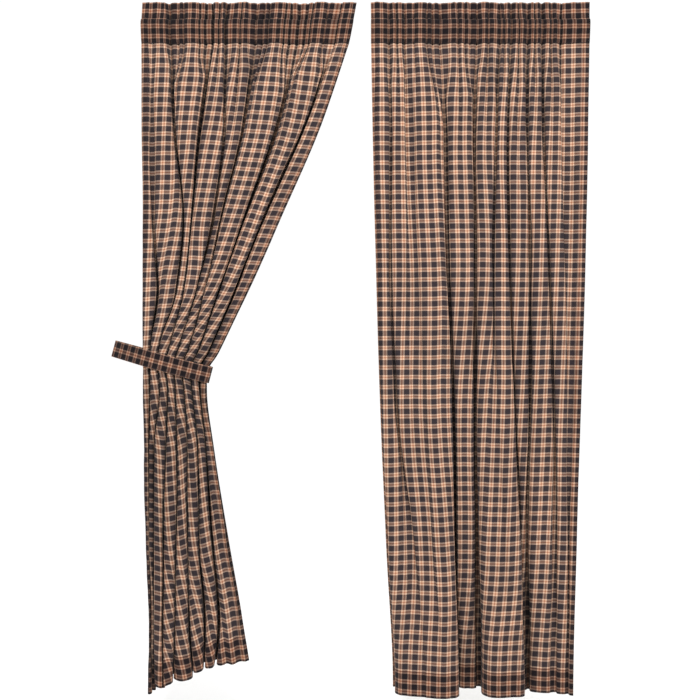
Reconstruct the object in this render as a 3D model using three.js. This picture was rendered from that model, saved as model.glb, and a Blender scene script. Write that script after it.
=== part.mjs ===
import * as THREE from "three";

// A pair of lined rod pocket curtain panels, hung side by side on one rod line.
// The left one is drawn aside by a tieback of the same cloth, the right one hangs straight.
// Millimetres. X runs to the viewer's right, Y towards the wall, Z up.
// The origin is on the rod line, midway between the two panels.

// One finished panel, laid flat
const WIDTH = 1016;
const FRILL = 51;
const POCKET = 76;
const SKIRT = 2007; // from the pocket's lower seam to the hem
const BOTTOM_HEM = 76;

// Cloth with its lining, the same where it is turned up, and the gap between sewn pieces
const CLOTH = 2;
const HEM_CLOTH = 3;
const SEAM_GAP = 0.3;

// The heading: half of its cloth's thickness measured front to back, the clear way for the rod,
// the height at which a pocket is fullest, how thick its seams are, and how far the frill fans out
const PLY = 1.2;
const ROD_WAY = 24;
const SHOULDER = 16;
const SEAM_DEPTH = 2.6;
const FRILL_SPREAD = 1.12;

// Folds are rows of these tables: x is where a fold runs at each drop below the rod line, and
// y says how far it lies to the front (-1) or to the back (1), as a share of the fold depth.
// The depth in millimetres isn't in the tables: it follows from the width of the cloth.
// The foremost fold lies at "front". The small tucks below the heading are narrow valleys: "at" is
// the row of the table that each lies at, or how far it lies towards the next row, "depth" is how
// far it goes back at the heading, and "end" is the drop at which it has run out.
// Near a tilt's drop the levels slope down to the right, as the strip that gathers them does.
// The flare is how far the heading's leading end leans out from its lower seam to its top.
const RIGHT = {
  drops: [38, 300, 675, 1140, 1600, 2040],
  front: [-9, -10, -13, -23, -41, -61],
  tucks: {
    at: [2, 3, 4, 4.75, 5.25, 5.75, 6, 7, 7.25, 7.75, 8, 9, 10, 11, 12, 13, 14, 15, 16, 17, 18],
    depth: [14, 12, 13, 11, 14, 12, 14, 12, 14, 11, 16, 14, 14, 14, 16, 15, 17, 16, 17, 15, 17],
    end: [300, 420, 300, 300, 620, 170, 300, 520, 330, 170, 300, 560, 300, 280, 300, 600, 300, 380, 300, 480, 300],
  },
  tilt: { slope: 0, drop: 0, spread: 1, x: 0 },
  flare: 0,
  folds: [
    { fold: "left edge", x: [20, 25, 34, 48, 68, 90], y: [0, 0.1, 0.1, 0.2, 0.5, 0.9] },
    { fold: "left ridge", x: [48, 51, 57, 66, 100, 128], y: [-0.4, -0.4, -0.4, -0.5, -0.5, -0.6] },
    { fold: "slanting crease", x: [76, 82, 80, 97, 150, 172], y: [0.3, 0.3, 0.35, 0.3, -0.2, -0.7] },
    { fold: "crease's far side", x: [100, 107, 110, 128, 178, 205], y: [-0.4, -0.4, -0.4, -0.5, -0.6, -0.9] },
    { fold: "short valley", x: [124, 131, 138, 159, 202, 227], y: [0.5, 0.4, 0.1, -0.3, -0.6, -0.95] },
    { fold: "left lobe", x: [168, 193, 202, 224, 236, 252], y: [-0.6, -0.55, -0.8, -0.9, -1, -1] },
    { fold: "lapped valley", x: [233, 252, 258, 277, 283, 292], y: [0.8, 0.85, 0.8, 1, 1, 0.95] },
    { fold: "sunk ridge", x: [289, 298, 300, 307, 314, 320], y: [-0.5, -0.5, -0.5, -0.2, 0.1, 0.6] },
    { fold: "dark valley", x: [348, 340, 345, 343, 349, 355], y: [0.6, 0.9, 0.8, 0.9, 1, 0.95] },
    { fold: "middle lobe, near", x: [382, 375, 372, 379, 394, 409], y: [-0.6, -0.5, -0.7, -0.7, -0.8, -0.95] },
    { fold: "fading valley", x: [419, 409, 399, 400, 419, 431], y: [0.3, 0.4, 0.4, -0.5, -0.8, -1] },
    { fold: "middle lobe, far", x: [434, 426, 425, 431, 447, 456], y: [-0.3, -0.42, -0.5, -0.9, -1, -1] },
    { fold: "thin valley", x: [453, 443, 448, 465, 485, 490], y: [0.3, 0.42, 0.6, 0.6, 0.5, 0.3] },
    { fold: "thin ridge", x: [477, 474, 482, 490, 494, 499], y: [-0.4, -0.4, -0.4, -0.1, 0.3, 0.4] },
    { fold: "long valley", x: [505, 504, 514, 513, 502, 508], y: [0.4, 0.5, 0.7, 0.7, 0.7, 0.55] },
    { fold: "right lobe, near", x: [527, 530, 542, 548, 548, 552], y: [-0.45, -0.5, -0.5, -0.4, -0.3, -0.1] },
    { fold: "soft valley", x: [550, 553, 570, 586, 592, 589], y: [0.35, 0.42, 0.5, 0.4, 0.2, 0.1] },
    { fold: "right lobe, far", x: [576, 582, 595, 610, 613, 610], y: [-0.5, -0.45, -0.5, -0.4, -0.3, -0.2] },
    { fold: "short right valley", x: [607, 613, 623, 629, 629, 626], y: [0.5, 0.45, 0.3, 0.1, 0, -0.1] },
    { fold: "right edge", x: [694, 691, 684, 669, 652, 640], y: [-0.2, -0.2, -0.3, -0.3, -0.4, -0.4] },
  ],
};

const LEFT = {
  drops: [38, 304, 552, 799, 965, 1032, 1108, 1293, 1571, 1819, 2040],
  front: [-9, -14, -17, -16, -13, -12.5, -15, -20, -25, -33, -41],
  tucks: {
    at: [4, 4.25, 4.75, 5.25, 5.75, 6, 7, 8, 9, 10, 10.25, 10.75, 11.25, 11.75, 12, 12.25, 12.75, 13.25],
    depth: [18, 14, 16, 15, 17, 18, 16, 18, 18, 18, 15, 17, 15, 17, 18, 15, 17, 15],
    end: [300, 170, 420, 330, 170, 300, 240, 300, 480, 300, 160, 430, 420, 170, 300, 160, 520, 330],
  },
  tilt: { slope: Math.tan(THREE.MathUtils.degToRad(14.9)), drop: 1032, spread: 130, x: -590 },
  flare: 24,
  folds: [
    {
      fold: "wall side edge",
      x: [-689, -691, -688, -690, -691, -689, -689, -684, -677, -669, -666],
      y: [0, 0, 0, 0.1, 0.2, 0.3, 0.2, 0.1, 0.2, 0.2, 0.2],
    },
    {
      fold: "edge ridge",
      x: [-675, -675, -675, -672, -675, -677, -676, -677, -671, -664, -663],
      y: [-0.25, -0.25, -0.3, -0.4, -0.5, -0.55, -0.5, -0.4, -0.4, -0.3, -0.3],
    },
    {
      fold: "edge valley",
      x: [-661, -663, -660, -641, -661, -664, -664, -667, -664, -660, -658],
      y: [0.1, 0.15, 0.25, 0.5, 0.7, 0.75, 0.7, 0.5, 0.5, 0.5, 0.6],
    },
    {
      fold: "second ridge",
      x: [-632, -626, -616, -610, -646, -652, -647, -658, -658, -653, -652],
      y: [-0.3, -0.3, -0.4, -0.6, -0.8, -0.85, -0.8, -0.5, -0.5, -0.4, -0.2],
    },
    {
      fold: "second valley",
      x: [-601, -589, -558, -582, -631, -639, -633, -649, -650, -647, -644],
      y: [0.55, 0.65, 0.95, 0.7, 0.9, 0.95, 0.9, 0.8, 0.8, 0.8, 0.7],
    },
    {
      fold: "third ridge",
      x: [-533, -548, -547, -570, -616, -627, -620, -632, -635, -635, -630],
      y: [-0.4, -0.7, -0.55, -0.4, -0.9, -0.97, -0.9, -0.9, -0.9, -1, -0.9],
    },
    {
      fold: "third valley",
      x: [-468, -511, -536, -559, -601, -614, -607, -612, -620, -621, -616],
      y: [0.45, 1, 1, 0.8, 1, 1, 1, 1, 0.9, 0.1, -0.7],
    },
    {
      fold: "fourth ridge",
      x: [-450, -471, -499, -539, -586, -602, -595, -595, -599, -604, -604],
      y: [-0.5, -0.4, -0.6, -0.8, -1, -1, -1, -0.9, -0.9, -0.9, -0.95],
    },
    {
      fold: "fourth valley",
      x: [-431, -434, -465, -521, -572, -589, -584, -578, -579, -584, -593],
      y: [0.25, 0.4, 0.7, 0.9, 1, 1, 1, 0.9, 0.9, 0.9, 0.9],
    },
    {
      fold: "fifth ridge",
      x: [-385, -406, -453, -508, -557, -577, -572, -562, -562, -564, -558],
      y: [-0.4, -0.45, -0.1, -0.3, -0.9, -0.97, -0.9, -0.9, -0.9, -0.8, -0.6],
    },
    {
      fold: "fifth valley",
      x: [-338, -379, -440, -494, -542, -565, -558, -547, -545, -542, -525],
      y: [0.6, 0.65, 0.8, 0.9, 0.9, 0.95, 1, 1, 1, 0.9, 0.9],
    },
    {
      fold: "sixth ridge",
      x: [-277, -329, -403, -474, -527, -552, -545, -530, -528, -518, -510],
      y: [-0.5, -0.65, -0.9, -0.9, -0.9, -0.9, -0.8, -0.8, -0.8, -0.7, -0.4],
    },
    {
      fold: "sixth valley",
      x: [-209, -273, -363, -450, -512, -540, -533, -514, -511, -493, -496],
      y: [0.6, 0.75, 0.9, 0.9, 0.8, 0.8, 0.9, 0.8, 0.8, 0.8, 0.9],
    },
    {
      fold: "seventh ridge",
      x: [-150, -230, -332, -425, -498, -527, -522, -502, -490, -468, -482],
      y: [-0.5, -0.7, -0.8, -0.8, -0.7, -0.65, -0.7, -0.7, -0.7, -0.7, -0.3],
    },
    {
      fold: "seventh valley",
      x: [-94, -190, -304, -403, -482, -515, -511, -490, -471, -450, -468],
      y: [0.6, 0.7, 0.9, 0.8, 0.6, 0.5, 0.6, 0.5, 0.4, 0.4, 0.8],
    },
    {
      fold: "leading ridge",
      x: [-70, -165, -277, -382, -467, -502, -499, -477, -447, -413, -409],
      y: [-0.4, -0.4, -0.4, -0.4, -0.4, -0.4, -0.4, -0.6, -0.7, -0.8, -0.6],
    },
    {
      fold: "leading edge",
      x: [-48, -141, -249, -360, -453, -490, -488, -465, -419, -375, -345],
      y: [0.2, 0.1, 0, 0, 0, 0, -0.2, -0.2, -0.3, -0.4, -0.5],
    },
  ],
};

// Half the width of a tuck along the cloth, and how far its sides are drawn together
const TUCK_WIDTH = 5.7;
const TUCK_PINCH = 3;

// How much of a fold's reach goes to its ridge at most, and the room its valley keeps
const MOST_LEAN = 0.68;
const VALLEY_ROOM = 12.5;

// How finely the folds are worked out, and how finely the solids follow them
const LEVEL_STEP = 20;
const LOWEST = 2140;
const CURVE_STEPS = 16; // from one fold to the next
const TUCK_STRIDE = 2; // steps from one column of a solid to the next, where tucks lie between folds
const PANEL_STRIDE = 4; // elsewhere in a panel
const HEADING_STRIDE = 8; // elsewhere in a heading
const HEM_THREADS = 60;
const LEFT_ROWS = { drops: [38, 62, 90, 125, 170, 230, 330, 480, 660, 800, 890, 950, 1000, 1058, 1130], shares: [0.33, 0.66] };
const RIGHT_ROWS = { drops: [38, 80, 130, 190, 280, 450, 700, 950, 1200], shares: [0.35, 0.7] };

// The tieback, a strip folded round the gathered cloth, with both ends at the wall side
const TIE = { height: 52, cloth: 2.4, clear: 1, reach: 202, endBack: 62, endGap: 5, sides: 40 };

// The slope at a point of a curve that never passes its own points
const slopeBetween = (before, after) => (before * after > 0 ? (2 * before * after) / (before + after) : 0);

// A curve through one row of a table that never passes the row's own values
function track(drops, values) {
  const straight = values.slice(1).map((value, i) => (value - values[i]) / (drops[i + 1] - drops[i]));
  const slopes = values.map((_, i) => {
    if (i === 0) return straight[0];
    if (i === straight.length) return 0;
    return slopeBetween(straight[i - 1], straight[i]);
  });
  return (drop) => {
    const d = THREE.MathUtils.clamp(drop, drops[0], drops.at(-1));
    let i = 0;
    while (i < drops.length - 2 && d > drops[i + 1]) i++;
    const step = drops[i + 1] - drops[i];
    const t = (d - drops[i]) / step;
    const rise = t * t * (3 - 2 * t);
    const start = t * (1 - t) * (1 - t) * step * slopes[i];
    const end = t * t * (t - 1) * step * slopes[i + 1];
    return values[i] + (values[i + 1] - values[i]) * rise + start + end;
  };
}

// Folds the small tucks into one level
function addTucks({ tucks }, points, length, drop) {
  tucks.at.forEach((at, k) => {
    const fade = 1 - THREE.MathUtils.smoothstep(drop, POCKET / 2, tucks.end[k]);
    points.forEach((p, i) => {
      const away = (length[i] - length[at * CURVE_STEPS]) / TUCK_WIDTH;
      const near = fade * Math.exp(-(away ** 2));
      p.x -= TUCK_PINCH * away * near;
      p.y += tucks.depth[k] * near;
    });
  });
}

// Turns a table into functions of the drop
function readFolds(table) {
  return {
    ...table,
    front: track(table.drops, table.front),
    folds: table.folds.map((row) => ({ x: track(table.drops, row.x), y: track(table.drops, row.y) })),
  };
}

// The cloth's middle line at one drop, for a fold depth: broad ridges and narrow, steep valleys
function foldCurve(panel, drop, depth) {
  const marks = panel.folds.map((row) => new THREE.Vector2(row.x(drop), row.y(drop) * depth));
  const steps = marks.slice(1).map((mark, i) => mark.clone().sub(marks[i]));
  const slopes = steps.map(({ x, y }) => y / x);
  const slant = (i) => (i === 0 || i === steps.length ? 0 : slopeBetween(slopes[i - 1], slopes[i]));
  const points = [];
  steps.forEach(({ x: across, y: deep }, i) => {
    const before = marks[Math.max(i - 1, 0)].x;
    const after = marks[Math.min(i + 2, steps.length)].x;
    const steep = THREE.MathUtils.smoothstep(Math.abs(slopes[i]), 0.15, 0.9);
    const reach = Math.min(Math.hypot((2.2 + steep) * across, 1.2 * deep), 1.9 * (after - before));
    const lean = THREE.MathUtils.clamp((0.8 * (2 * across - VALLEY_ROOM)) / reach, 0, MOST_LEAN * steep) * Math.sign(deep);
    for (let k = i ? 1 : 0; k <= CURVE_STEPS; k++) {
      const t = k / CURVE_STEPS;
      const rise = t * t * (3 - 2 * t);
      const leave = (reach * (1 + lean) * t * (1 - t) ** 2) / Math.hypot(1, slant(i));
      const arrive = (reach * (1 - lean) * t * t * (1 - t)) / Math.hypot(1, slant(i + 1));
      const x = marks[i].x + across * rise + leave - arrive;
      const y = marks[i].y + deep * rise + slant(i) * leave - slant(i + 1) * arrive;
      points.push(new THREE.Vector3(x, y, 0));
    }
  });
  const length = runningLength(points);
  const forward = panel.front(drop) - Math.min(...points.map((p) => p.y));
  points.forEach((p) => (p.y += forward));
  addTucks(panel, points, length, drop);
  const tilt = panel.tilt.slope * Math.exp(-(((drop - panel.tilt.drop) / panel.tilt.spread) ** 2));
  points.forEach((p) => (p.z = -drop - tilt * (p.x - panel.tilt.x)));
  return points;
}

function runningLength(points) {
  const length = [0];
  for (let i = 1; i < points.length; i++) length.push(length[i - 1] + points[i].distanceTo(points[i - 1]));
  return length;
}

// Width of cloth along a level, measured square to the threads that run down through it
function clothAcross(points, below) {
  const across = [0];
  const step = new THREE.Vector3();
  const thread = new THREE.Vector3();
  for (let i = 1; i < points.length; i++) {
    step.subVectors(points[i], points[i - 1]);
    thread.addVectors(below[i], below[i - 1]).sub(points[i]).sub(points[i - 1]).normalize();
    across.push(across[i - 1] + step.cross(thread).length());
  }
  return across;
}

// One level of the hung cloth: the fold depth is the one that uses up the cloth's whole width
function level(panel, drop) {
  let shallow = 0;
  let deep = 160;
  let points, across;
  for (let round = 0; round < 22; round++) {
    const depth = (shallow + deep) / 2;
    points = foldCurve(panel, drop, depth);
    across = clothAcross(points, foldCurve(panel, drop + 5, depth));
    if (across.at(-1) < WIDTH) shallow = depth;
    else deep = depth;
  }
  const scale = WIDTH / across.at(-1);
  return { drop, points, across: across.map((a) => a * scale) };
}

function levelsOf(panel) {
  const levels = [];
  for (let drop = POCKET / 2; drop <= LOWEST; drop += LEVEL_STEP) levels.push(level(panel, drop));
  return levels;
}

// Where the thread that is so far across the cloth passes a level
function placeAcross({ points, across }, u) {
  let i = 1;
  while (i < across.length - 1 && across[i] < u) i++;
  const t = (u - across[i - 1]) / (across[i] - across[i - 1]);
  return points[i - 1].clone().lerp(points[i], t);
}

// A point partway between two levels of a line that runs down through them all
function placeDown(places, drop) {
  const at = (drop - POCKET / 2) / LEVEL_STEP;
  const i = Math.min(Math.floor(at), places.length - 2);
  return places[i].clone().lerp(places[i + 1], at - i);
}

// The drop at which a thread, so far across the cloth, has used up the cloth's length
function hemOfThread(levels, u) {
  const along = runningLength(levels.map((one) => placeAcross(one, u)));
  const last = along.findIndex((a) => a > SKIRT);
  const share = (SKIRT - along[last - 1]) / (along[last] - along[last - 1]);
  return levels[last - 1].drop + LEVEL_STEP * share;
}

// Where a line of the fold curve, numbered by its curve step, meets the hem
function hemFinder(levels) {
  const hems = Array.from({ length: HEM_THREADS + 1 }, (_, k) => hemOfThread(levels, (WIDTH * k) / HEM_THREADS));
  return (step) => {
    const across = levels.map((one) => new THREE.Vector3(one.across[step], 0, 0));
    let drop = levels.at(-1).drop - LEVEL_STEP;
    for (let round = 0; round < 6; round++) {
      const at = (placeDown(across, drop).x / WIDTH) * HEM_THREADS;
      const i = Math.min(Math.floor(at), HEM_THREADS - 1);
      drop = THREE.MathUtils.lerp(hems[i], hems[i + 1], at - i);
    }
    return drop;
  };
}

// A closed mesh put together from quads, turned so that its faces point out
class Shell {
  points = [];
  corners = [];

  add(point) {
    this.points.push(point);
    return this.points.length - 1;
  }

  quad(a, b, c, d) {
    this.corners.push(a, b, c, a, c, d);
  }

  // Joins two rows of points, closing them into loops where asked
  join(rowA, rowB, loop = false) {
    const count = loop ? rowA.length : rowA.length - 1;
    for (let i = 0; i < count; i++) {
      const next = (i + 1) % rowA.length;
      this.quad(rowA[i], rowA[next], rowB[next], rowB[i]);
    }
  }

  // The same faces turned round: a sheet's two sides are cut along the same diagonals
  joinBack(rowA, rowB) {
    for (let i = 0; i < rowA.length - 1; i++) this.quad(rowB[i + 1], rowA[i + 1], rowA[i], rowB[i]);
  }

  volume() {
    let six = 0;
    for (let i = 0; i < this.corners.length; i += 3) {
      const [a, b, c] = this.corners.slice(i, i + 3).map((k) => this.points[k]);
      six += a.dot(b.clone().cross(c));
    }
    return six / 6;
  }

  geometry() {
    if (this.volume() < 0) this.corners.reverse();
    const geometry = new THREE.BufferGeometry().setFromPoints(this.points);
    geometry.setIndex(this.corners);
    geometry.computeVertexNormals();
    return geometry;
  }
}

// A sheet of the given thickness on a grid of middle points: rows down the cloth, columns across
function sheetGeometry(grid, thicknesses) {
  const shell = new Shell();
  const at = (r, c) => grid[THREE.MathUtils.clamp(r, 0, grid.length - 1)][THREE.MathUtils.clamp(c, 0, grid[0].length - 1)];
  const sides = [-1, 1].map((side) =>
    grid.map((row, r) =>
      row.map((point, c) => {
        const down = at(r + 1, c).clone().sub(at(r - 1, c));
        const ahead = at(r, c + 1).clone().sub(point).normalize();
        const across = point.clone().sub(at(r, c - 1)).normalize().add(ahead);
        const normal = down.cross(across).normalize();
        if (r === 0) normal.setZ(0).normalize();
        return shell.add(point.clone().addScaledVector(normal, (side * thicknesses[r]) / 2));
      }),
    ),
  );
  const [one, other] = sides;
  for (let r = 1; r < grid.length; r++) {
    shell.join(one[r - 1], one[r]);
    shell.joinBack(other[r - 1], other[r]);
    shell.quad(one[r][0], other[r][0], other[r - 1][0], one[r - 1][0]);
    shell.quad(one[r - 1].at(-1), other[r - 1].at(-1), other[r].at(-1), one[r].at(-1));
  }
  shell.join(other[0], one[0]);
  shell.join(one.at(-1), other.at(-1));
  return shell.geometry();
}

// The curve steps at which a solid has a column
function columnSteps({ folds, tucks }, stride) {
  const steps = [0];
  for (let i = 0; i < folds.length - 1; i++) {
    const tucked = tucks.at.some((at) => at > i && at < i + 1);
    const one = tucked ? TUCK_STRIDE : stride;
    for (let step = one; step <= CURVE_STEPS; step += one) steps.push(i * CURVE_STEPS + step);
  }
  return steps;
}

// A panel's columns run down its folds. Its rows are fixed drops down to the middle, then shares
// of the way to the turned-up hem.
function panelGeometry(panel, levels, rows) {
  const middle = rows.drops.at(-1);
  const hemAt = hemFinder(levels);
  const grid = [];
  for (const step of columnSteps(panel, PANEL_STRIDE)) {
    const hem = hemAt(step);
    const hemTop = hem - BOTTOM_HEM;
    const places = levels.map((one) => one.points[step]);
    const lower = rows.shares.map((share) => middle + share * (hemTop - middle));
    [...rows.drops, ...lower, hemTop - HEM_CLOTH, hemTop, hem].forEach((drop, r) => {
      grid[r] ??= [];
      grid[r].push(placeDown(places, drop));
    });
  }
  grid[0].forEach((point) => (point.z -= SEAM_GAP / 2));
  return sheetGeometry(
    grid,
    grid.map((_, r) => (r < grid.length - 2 ? CLOTH : HEM_CLOTH)),
  );
}

// The heading over one section of gathered cloth: a frill above, and two plies round the rod's way
function headingGeometry(panel, seamLevel) {
  const base = columnSteps(panel, HEADING_STRIDE).map((step) => seamLevel.points[step]);
  const depths = base.map((p) => p.y);
  const frontPuff = ROD_WAY / 2 + CLOTH + Math.max(...depths);
  const backPuff = ROD_WAY / 2 + CLOTH - Math.min(...depths);
  const half = POCKET / 2;
  // Half profiles: height, distance in front of or behind the middle line, and spread of the tucks
  const outerSide = (puff) => [
    [SEAM_GAP / 2 - half, PLY, 1],
    [-SHOULDER, puff + PLY, 1],
    [SHOULDER, puff + PLY, 1],
    [half, PLY, 1],
    [half + FRILL, PLY, FRILL_SPREAD],
  ];
  const innerSide = (puff) => [
    [SEAM_DEPTH - half, PLY / 2, 1],
    [-SHOULDER, puff - PLY, 1],
    [SHOULDER, puff - PLY, 1],
    [half - SEAM_DEPTH, PLY / 2, 1],
  ];
  const shell = new Shell();
  const outer = [];
  const inner = [];
  base.forEach(({ x, y }) => {
    const reach = panel.flare * ((x - base[0].x) / (base.at(-1).x - base[0].x)) ** 2;
    const line = (side, profile) =>
      profile.map(([z, away, spread]) => {
        const out = (reach * (z + half)) / (POCKET + FRILL);
        return shell.add(new THREE.Vector3(x + out, y * spread + side * away, z));
      });
    outer.push([...line(-1, outerSide(frontPuff)), ...line(1, outerSide(backPuff)).reverse()]);
    inner.push([...line(-1, innerSide(frontPuff)), ...line(1, innerSide(backPuff)).reverse()]);
  });
  for (let c = 1; c < base.length; c++) {
    shell.join(outer[c], outer[c - 1], true);
    shell.join(inner[c - 1], inner[c], true);
  }
  const close = (o, i, flip) => {
    const ring = [o[0], o[1], o[2], o[3], o[6], o[7], o[8], o[9]];
    const [a, b] = flip ? [i, ring] : [ring, i];
    shell.join(a, b, true);
    if (flip) shell.quad(o[6], o[5], o[4], o[3]);
    else shell.quad(o[3], o[4], o[5], o[6]);
  };
  close(outer[0], inner[0], false);
  close(outer.at(-1), inner.at(-1), true);
  return shell.geometry();
}

// The taut line round a set of points, pushed out by a distance, as it looks from each direction in turn
function tautLine(points, away, sides) {
  const angles = Array.from({ length: sides }, (_, k) => -Math.PI + (2 * Math.PI * (k + 0.5)) / sides);
  const reach = angles.map((a) => away + Math.max(...points.map((p) => p[0] * Math.cos(a) + p[1] * Math.sin(a))));
  const turn = Math.sin((2 * Math.PI) / sides);
  return angles.slice(1).map((b, k) => {
    const a = angles[k];
    return new THREE.Vector2(
      (reach[k] * Math.sin(b) - reach[k + 1] * Math.sin(a)) / turn,
      (reach[k + 1] * Math.cos(a) - reach[k] * Math.cos(b)) / turn,
    );
  });
}

// The strip lies along the taut line round the gathered cloth and the place where its ends are held
function tiebackGeometry(levels) {
  const { slope, drop, x: centre } = LEFT.tilt;
  const angle = Math.atan(slope);
  const across = new THREE.Vector3(Math.cos(angle), 0, -Math.sin(angle));
  const up = new THREE.Vector3(Math.sin(angle), 0, Math.cos(angle));
  const cloth = levels
    .flatMap((one) => one.points.map((p) => new THREE.Vector3(p.x - centre, p.y, p.z + drop)))
    .filter((p) => Math.abs(p.dot(up)) < (TIE.height + LEVEL_STEP) / 2)
    .map((p) => [p.dot(across), p.y]);
  const ends = [-1, 1].map((side) => [-TIE.reach, TIE.endBack + (side * TIE.endGap) / 2]);
  const bundle = [...cloth, ...ends];
  const inner = tautLine(bundle, CLOTH / 2 + TIE.clear, TIE.sides);
  const outer = tautLine(bundle, CLOTH / 2 + TIE.clear + TIE.cloth, TIE.sides);
  const shell = new Shell();
  const tops = [-1, 1].map((side) =>
    [inner, outer].map((line) => line.map((p) => shell.add(new THREE.Vector3(p.x, p.y, (side * TIE.height) / 2)))),
  );
  const [[lowIn, lowOut], [highIn, highOut]] = tops;
  shell.join(lowIn, highIn);
  shell.join(highOut, lowOut);
  shell.join(lowOut, lowIn);
  shell.join(highIn, highOut);
  shell.quad(lowOut[0], lowIn[0], highIn[0], highOut[0]);
  shell.quad(lowIn.at(-1), lowOut.at(-1), highOut.at(-1), highIn.at(-1));
  return shell.geometry();
}

const cloth = new THREE.MeshStandardMaterial({ color: 0x6b5f59, roughness: 0.92, metalness: 0 });
const doubledCloth = new THREE.MeshStandardMaterial({ color: 0x4c4440, roughness: 0.92, metalness: 0 });

function piece(name, geometry, material) {
  const mesh = new THREE.Mesh(geometry, material);
  mesh.name = name;
  return mesh;
}

const left = readFolds(LEFT);
const right = readFolds(RIGHT);
const leftLevels = levelsOf(left);
const rightLevels = levelsOf(right);

const pair = new THREE.Group();
pair.add(piece("left_heading", headingGeometry(left, leftLevels[0]), doubledCloth));
pair.add(piece("right_heading", headingGeometry(right, rightLevels[0]), doubledCloth));
pair.add(piece("left_panel", panelGeometry(left, leftLevels, LEFT_ROWS), cloth));
pair.add(piece("right_panel", panelGeometry(right, rightLevels, RIGHT_ROWS), cloth));

const tieback = piece("tieback", tiebackGeometry(leftLevels), doubledCloth);
tieback.position.set(LEFT.tilt.x, 0, -LEFT.tilt.drop);
tieback.rotation.y = Math.atan(LEFT.tilt.slope);
pair.add(tieback);

export default pair;
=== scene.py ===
"""Looks for a pair of lined rod pocket curtain panels, the left one drawn aside by a tieback.

The fold tables and the way the cloth is hung repeat the part's source, in millimetres. X runs to
the viewer's right, Y towards the wall and Z up, from the rod line midway between the panels.
"""

import math

import bmesh
import bpy
import numpy as np
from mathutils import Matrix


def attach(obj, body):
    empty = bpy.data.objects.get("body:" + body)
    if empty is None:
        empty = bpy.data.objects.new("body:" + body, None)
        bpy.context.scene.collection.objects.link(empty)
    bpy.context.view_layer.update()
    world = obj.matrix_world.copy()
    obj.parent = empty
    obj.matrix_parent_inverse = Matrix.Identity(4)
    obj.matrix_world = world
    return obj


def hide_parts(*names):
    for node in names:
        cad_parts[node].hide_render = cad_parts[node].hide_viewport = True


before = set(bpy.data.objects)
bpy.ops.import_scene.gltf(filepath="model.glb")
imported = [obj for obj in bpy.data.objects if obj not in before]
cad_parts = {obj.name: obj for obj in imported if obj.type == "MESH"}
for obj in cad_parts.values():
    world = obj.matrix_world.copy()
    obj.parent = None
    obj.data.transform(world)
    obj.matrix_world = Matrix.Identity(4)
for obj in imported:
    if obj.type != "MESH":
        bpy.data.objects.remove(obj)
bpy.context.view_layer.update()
MM = 0.001

# One finished panel, laid flat
WIDTH = 1016
FRILL = 51
POCKET = 76
SKIRT = 2007
BOTTOM_HEM = 76
SIDE_HEM = 25
SEWN_IN = 2  # how far from a hem's inner edge it is sewn

# How thick the cloth is with its lining, and where it is turned up
CLOTH = 2
HEM_CLOTH = 3

# The heading: the room that its cloth takes up on each side, how thick the cloth itself is, and how
# far each side of the pocket stands out at each height above and below the rod line
PLY = 1.2
HEADING_CLOTH = 1
POCKET_SIDE = {
    "height": [-38, -34, -28, -17.6, -4, 10.8, 20, 28, 34, 37, 38],
    "out": [0, 3.5, 6.5, 9.8, 12.8, 15.2, 16.4, 15.6, 12, 6.5, 0],
}

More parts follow.
